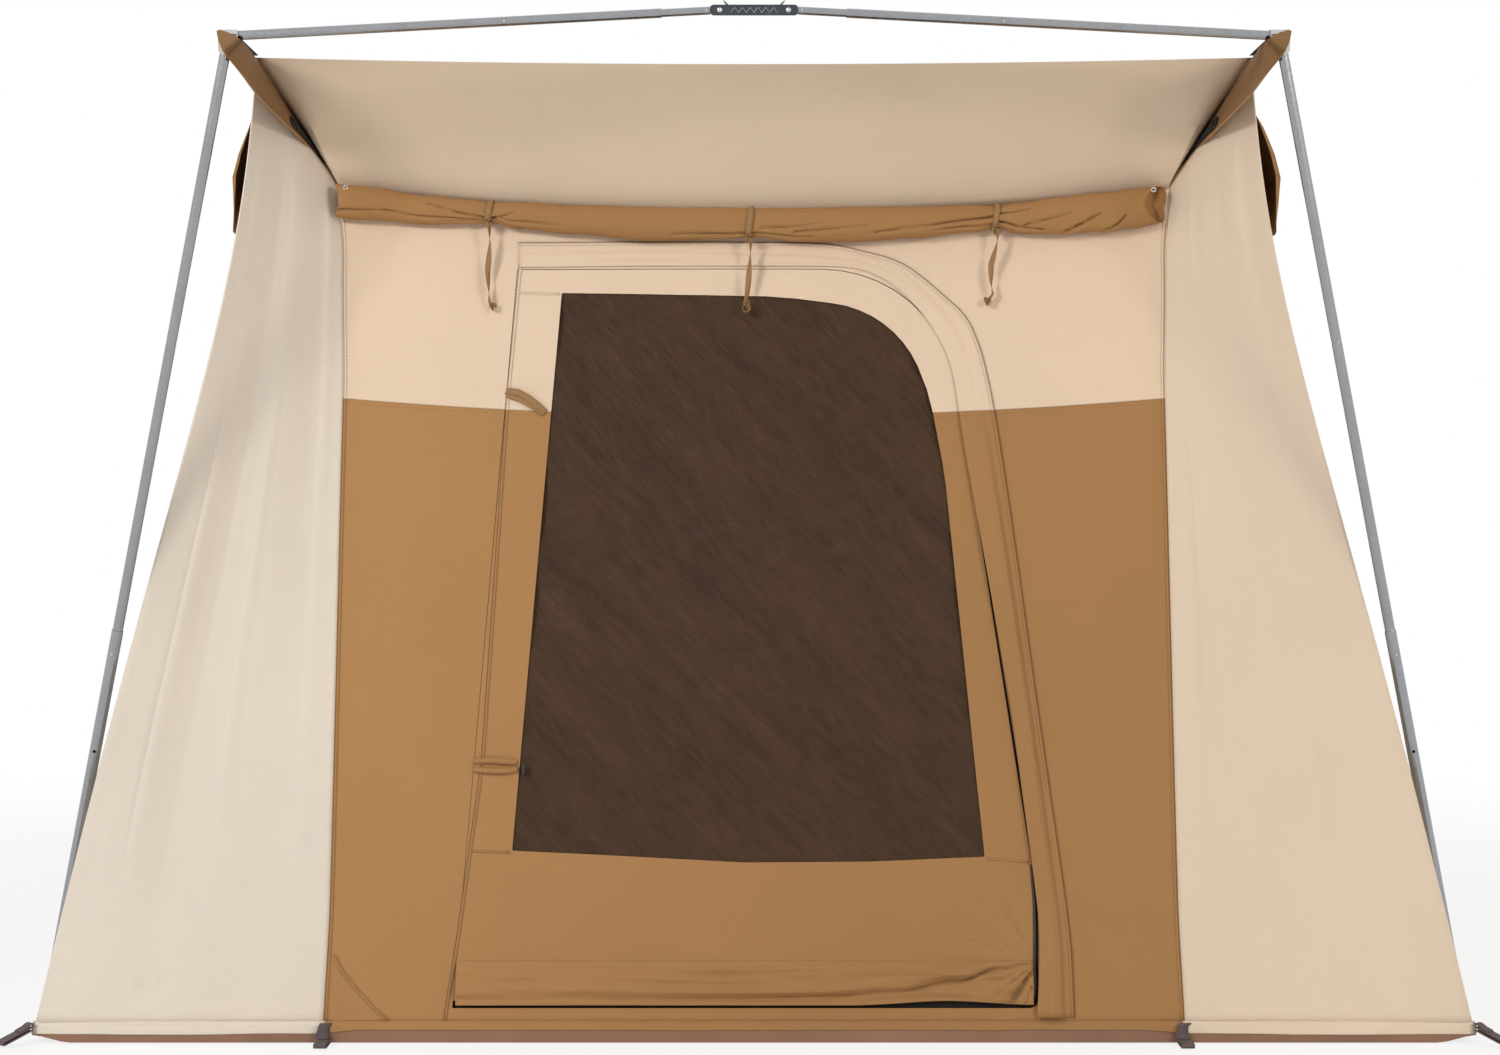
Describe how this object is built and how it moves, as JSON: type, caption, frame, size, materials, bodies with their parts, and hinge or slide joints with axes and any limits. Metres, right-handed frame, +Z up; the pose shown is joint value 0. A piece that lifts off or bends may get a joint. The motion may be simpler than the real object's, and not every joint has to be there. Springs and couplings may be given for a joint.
{
  "type": "canvas tent",
  "caption": "Square canvas cabin tent with a zipped mesh door, rolled awnings and folding steel arches outside.",
  "frame": {"origin": "middle of the underside of the floor, on the ground", "axes": "+Z up, +X to the right of someone who faces the door, and the door faces -Y"},
  "size_m": [3.1716, 3.3322, 2.1721],
  "materials": {
    "tan_canvas": "woven cotton canvas",
    "cream_canvas": "woven cotton canvas",
    "brown_canvas": "woven cotton canvas",
    "window_mesh": "fine dark netting",
    "tub": "coated floor sheet",
    "webbing": "woven webbing",
    "steel": "bright steel tube",
    "dark_steel": "dark coated pressing",
    "zinc": "bright zinc plating"
  },
  "bodies": {
    "canvas": {"floor_tub": "tub", "front_panel": "tan_canvas", "rear_panel": "tan_canvas", "side_panel_left": "cream_canvas", "side_panel_right": "cream_canvas", "roof_canopy": "tan_canvas", "side_mesh_left": "window_mesh", "side_mesh_right": "window_mesh", "rear_mesh": "window_mesh", "front_awning": "brown_canvas", "rear_awning": "brown_canvas", "side_awning_left": "brown_canvas", "side_awning_right": "brown_canvas", "front_gusset_left": "brown_canvas", "front_gusset_right": "brown_canvas", "rear_gusset_left": "brown_canvas", "rear_gusset_right": "brown_canvas", "stake_loop_front_left": "webbing", "stake_loop_front_right": "webbing", "stake_loop_rear_left": "webbing", "stake_loop_rear_right": "webbing", "stake_loop_door_left": "webbing", "stake_loop_door_right": "webbing"},
    "door": {"door_leaf": "brown_canvas", "door_mesh": "window_mesh"},
    "front_link": {"front_link": "dark_steel"},
    "front_latch_left": {"front_latch_left": "zinc"},
    "front_latch_right": {"front_latch_right": "zinc"},
    "front_bar_inner_left": {"front_bar_inner_left": "steel"},
    "front_bar_inner_right": {"front_bar_inner_right": "steel"},
    "front_bar_outer_left": {"front_bar_outer_left": "steel", "front_hub_left": "zinc"},
    "front_bar_outer_right": {"front_bar_outer_right": "steel", "front_hub_right": "zinc"},
    "front_bar_button_left": {"front_bar_button_left": "zinc"},
    "front_bar_button_right": {"front_bar_button_right": "zinc"},
    "front_leg_upper_left": {"front_leg_upper_left": "steel"},
    "front_leg_upper_right": {"front_leg_upper_right": "steel"},
    "front_leg_lower_left": {"front_leg_lower_left": "steel"},
    "front_leg_lower_right": {"front_leg_lower_right": "steel"},
    "front_leg_button_left": {"front_leg_button_left": "zinc"},
    "front_leg_button_right": {"front_leg_button_right": "zinc"},
    "rear_link": {"rear_link": "dark_steel"},
    "rear_latch_left": {"rear_latch_left": "zinc"},
    "rear_latch_right": {"rear_latch_right": "zinc"},
    "rear_bar_inner_left": {"rear_bar_inner_left": "steel"},
    "rear_bar_inner_right": {"rear_bar_inner_right": "steel"},
    "rear_bar_outer_left": {"rear_bar_outer_left": "steel", "rear_hub_left": "zinc"},
    "rear_bar_outer_right": {"rear_bar_outer_right": "steel", "rear_hub_right": "zinc"},
    "rear_bar_button_left": {"rear_bar_button_left": "zinc"},
    "rear_bar_button_right": {"rear_bar_button_right": "zinc"},
    "rear_leg_upper_left": {"rear_leg_upper_left": "steel"},
    "rear_leg_upper_right": {"rear_leg_upper_right": "steel"},
    "rear_leg_lower_left": {"rear_leg_lower_left": "steel"},
    "rear_leg_lower_right": {"rear_leg_lower_right": "steel"},
    "rear_leg_button_left": {"rear_leg_button_left": "zinc"},
    "rear_leg_button_right": {"rear_leg_button_right": "zinc"}
  },
  "joints": [
    {"name": "frame_fold", "type": "slide", "parent": "canvas", "child": "front_link", "axis": [0, 0, -1], "range_m": [0, 1.68994], "deforming": ["front_panel", "rear_panel", "side_panel_left", "side_panel_right", "roof_canopy", "side_mesh_left", "side_mesh_right", "rear_mesh", "front_awning", "rear_awning", "side_awning_left", "side_awning_right", "front_gusset_left", "front_gusset_right", "rear_gusset_left", "rear_gusset_right", "door_leaf", "door_mesh"]},
    {"name": "door_swing", "type": "hinge", "parent": "canvas", "child": "door", "pos_m": [-0.636, -1.5082, 0.079], "axis": [-0.0687, -0.1957, -0.9783], "range_deg": [0, 95]},
    {"name": "front_latch_left_lift", "type": "hinge", "parent": "front_link", "child": "front_latch_left", "pos_m": [-0.046, -1.65329, 2.15496], "axis": [0, 0.986, 0.1667], "range_deg": [0, 15], "stiffness_Nm_per_rad": 0.6, "springref_deg": -5.73},
    {"name": "front_bar_turn_left", "type": "hinge", "parent": "front_link", "child": "front_bar_inner_left", "pos_m": [-0.0707, -1.65279, 2.152], "axis": [0, 0.986, 0.1667], "range_deg": [0, 88.01]},
    {"name": "front_bar_slide_left", "type": "slide", "parent": "front_bar_inner_left", "child": "front_bar_outer_left", "axis": [0.9987, -0.0087, 0.0512], "range_m": [0, 0.0851], "deforming": ["front_bar_button_left"]},
    {"name": "front_leg_turn_left", "type": "hinge", "parent": "front_bar_outer_left", "child": "front_leg_upper_left", "pos_m": [-1.09, -1.64, 2.07634], "axis": [0, -0.986, -0.1667], "range_deg": [0, 100.38]},
    {"name": "front_leg_slide_left", "type": "slide", "parent": "front_leg_upper_left", "child": "front_leg_lower_left", "axis": [0.2143, -0.1628, 0.9631], "range_m": [0, 0.7601], "deforming": ["front_leg_button_left"]},
    {"name": "front_bar_button_left_press", "type": "slide", "parent": "front_bar_inner_left", "child": "front_bar_button_left", "axis": [0, 0.986, 0.1667], "range_m": [0, 0.004], "stiffness_N_per_m": 500, "springref_m": -0.004},
    {"name": "front_leg_button_left_press", "type": "slide", "parent": "front_leg_upper_left", "child": "front_leg_button_left", "axis": [0, 0.986, 0.1667], "range_m": [0, 0.004], "stiffness_N_per_m": 500, "springref_m": -0.004},
    {"name": "front_latch_right_lift", "type": "hinge", "parent": "front_link", "child": "front_latch_right", "pos_m": [0.046, -1.65329, 2.15496], "axis": [0, -0.986, -0.1667], "range_deg": [0, 15], "stiffness_Nm_per_rad": 0.6, "springref_deg": -5.73},
    {"name": "front_bar_turn_right", "type": "hinge", "parent": "front_link", "child": "front_bar_inner_right", "pos_m": [0.0707, -1.65279, 2.152], "axis": [0, -0.986, -0.1667], "range_deg": [0, 88.01]},
    {"name": "front_bar_slide_right", "type": "slide", "parent": "front_bar_inner_right", "child": "front_bar_outer_right", "axis": [-0.9987, -0.0087, 0.0512], "range_m": [0, 0.0851], "deforming": ["front_bar_button_right"]},
    {"name": "front_leg_turn_right", "type": "hinge", "parent": "front_bar_outer_right", "child": "front_leg_upper_right", "pos_m": [1.09, -1.64, 2.07634], "axis": [0, 0.986, 0.1667], "range_deg": [0, 100.38]},
    {"name": "front_leg_slide_right", "type": "slide", "parent": "front_leg_upper_right", "child": "front_leg_lower_right", "axis": [-0.2143, -0.1628, 0.9631], "range_m": [0, 0.7601], "deforming": ["front_leg_button_right"]},
    {"name": "front_bar_button_right_press", "type": "slide", "parent": "front_bar_inner_right", "child": "front_bar_button_right", "axis": [0, 0.986, 0.1667], "range_m": [0, 0.004], "stiffness_N_per_m": 500, "springref_m": -0.004},
    {"name": "front_leg_button_right_press", "type": "slide", "parent": "front_leg_upper_right", "child": "front_leg_button_right", "axis": [0, 0.986, 0.1667], "range_m": [0, 0.004], "stiffness_N_per_m": 500, "springref_m": -0.004},
    {"name": "rear_link_drop", "type": "slide", "parent": "canvas", "child": "rear_link", "axis": [0, 0, -1], "range_m": [0, 1.68994]},
    {"name": "rear_latch_left_lift", "type": "hinge", "parent": "rear_link", "child": "rear_latch_left", "pos_m": [-0.046, 1.65329, 2.15496], "axis": [0, 0.986, -0.1667], "range_deg": [0, 15], "stiffness_Nm_per_rad": 0.6, "springref_deg": -5.73},
    {"name": "rear_bar_turn_left", "type": "hinge", "parent": "rear_link", "child": "rear_bar_inner_left", "pos_m": [-0.0707, 1.65279, 2.152], "axis": [0, 0.986, -0.1667], "range_deg": [0, 88.01]},
    {"name": "rear_bar_slide_left", "type": "slide", "parent": "rear_bar_inner_left", "child": "rear_bar_outer_left", "axis": [0.9987, 0.0087, 0.0512], "range_m": [0, 0.0851], "deforming": ["rear_bar_button_left"]},
    {"name": "rear_leg_turn_left", "type": "hinge", "parent": "rear_bar_outer_left", "child": "rear_leg_upper_left", "pos_m": [-1.09, 1.64, 2.07634], "axis": [0, -0.986, 0.1667], "range_deg": [0, 100.38]},
    {"name": "rear_leg_slide_left", "type": "slide", "parent": "rear_leg_upper_left", "child": "rear_leg_lower_left", "axis": [0.2143, 0.1628, 0.9631], "range_m": [0, 0.7601], "deforming": ["rear_leg_button_left"]},
    {"name": "rear_bar_button_left_press", "type": "slide", "parent": "rear_bar_inner_left", "child": "rear_bar_button_left", "axis": [0, -0.986, 0.1667], "range_m": [0, 0.004], "stiffness_N_per_m": 500, "springref_m": -0.004},
    {"name": "rear_leg_button_left_press", "type": "slide", "parent": "rear_leg_upper_left", "child": "rear_leg_button_left", "axis": [0, -0.986, 0.1667], "range_m": [0, 0.004], "stiffness_N_per_m": 500, "springref_m": -0.004},
    {"name": "rear_latch_right_lift", "type": "hinge", "parent": "rear_link", "child": "rear_latch_right", "pos_m": [0.046, 1.65329, 2.15496], "axis": [0, -0.986, 0.1667], "range_deg": [0, 15], "stiffness_Nm_per_rad": 0.6, "springref_deg": -5.73},
    {"name": "rear_bar_turn_right", "type": "hinge", "parent": "rear_link", "child": "rear_bar_inner_right", "pos_m": [0.0707, 1.65279, 2.152], "axis": [0, -0.986, 0.1667], "range_deg": [0, 88.01]},
    {"name": "rear_bar_slide_right", "type": "slide", "parent": "rear_bar_inner_right", "child": "rear_bar_outer_right", "axis": [-0.9987, 0.0087, 0.0512], "range_m": [0, 0.0851], "deforming": ["rear_bar_button_right"]},
    {"name": "rear_leg_turn_right", "type": "hinge", "parent": "rear_bar_outer_right", "child": "rear_leg_upper_right", "pos_m": [1.09, 1.64, 2.07634], "axis": [0, 0.986, -0.1667], "range_deg": [0, 100.38]},
    {"name": "rear_leg_slide_right", "type": "slide", "parent": "rear_leg_upper_right", "child": "rear_leg_lower_right", "axis": [-0.2143, 0.1628, 0.9631], "range_m": [0, 0.7601], "deforming": ["rear_leg_button_right"]},
    {"name": "rear_bar_button_right_press", "type": "slide", "parent": "rear_bar_inner_right", "child": "rear_bar_button_right", "axis": [0, -0.986, 0.1667], "range_m": [0, 0.004], "stiffness_N_per_m": 500, "springref_m": -0.004},
    {"name": "rear_leg_button_right_press", "type": "slide", "parent": "rear_leg_upper_right", "child": "rear_leg_button_right", "axis": [0, -0.986, 0.1667], "range_m": [0, 0.004], "stiffness_N_per_m": 500, "springref_m": -0.004}
  ],
  "couplings": [
    {"joint": "front_bar_turn_left", "follows": "frame_fold", "rad_per_m": 0.90884},
    {"joint": "front_bar_slide_left", "follows": "frame_fold", "ratio": 0.050298},
    {"joint": "front_leg_turn_left", "follows": "frame_fold", "rad_per_m": 1.0366},
    {"joint": "front_leg_slide_left", "follows": "frame_fold", "ratio": 0.44972},
    {"joint": "front_bar_turn_right", "follows": "frame_fold", "rad_per_m": 0.90884},
    {"joint": "front_bar_slide_right", "follows": "frame_fold", "ratio": 0.050298},
    {"joint": "front_leg_turn_right", "follows": "frame_fold", "rad_per_m": 1.0366},
    {"joint": "front_leg_slide_right", "follows": "frame_fold", "ratio": 0.44972},
    {"joint": "rear_link_drop", "follows": "frame_fold", "ratio": 1},
    {"joint": "rear_bar_turn_left", "follows": "frame_fold", "rad_per_m": 0.90884},
    {"joint": "rear_bar_slide_left", "follows": "frame_fold", "ratio": 0.050298},
    {"joint": "rear_leg_turn_left", "follows": "frame_fold", "rad_per_m": 1.0366},
    {"joint": "rear_leg_slide_left", "follows": "frame_fold", "ratio": 0.44972},
    {"joint": "rear_bar_turn_right", "follows": "frame_fold", "rad_per_m": 0.90884},
    {"joint": "rear_bar_slide_right", "follows": "frame_fold", "ratio": 0.050298},
    {"joint": "rear_leg_turn_right", "follows": "frame_fold", "rad_per_m": 1.0366},
    {"joint": "rear_leg_slide_right", "follows": "frame_fold", "ratio": 0.44972}
  ]
}
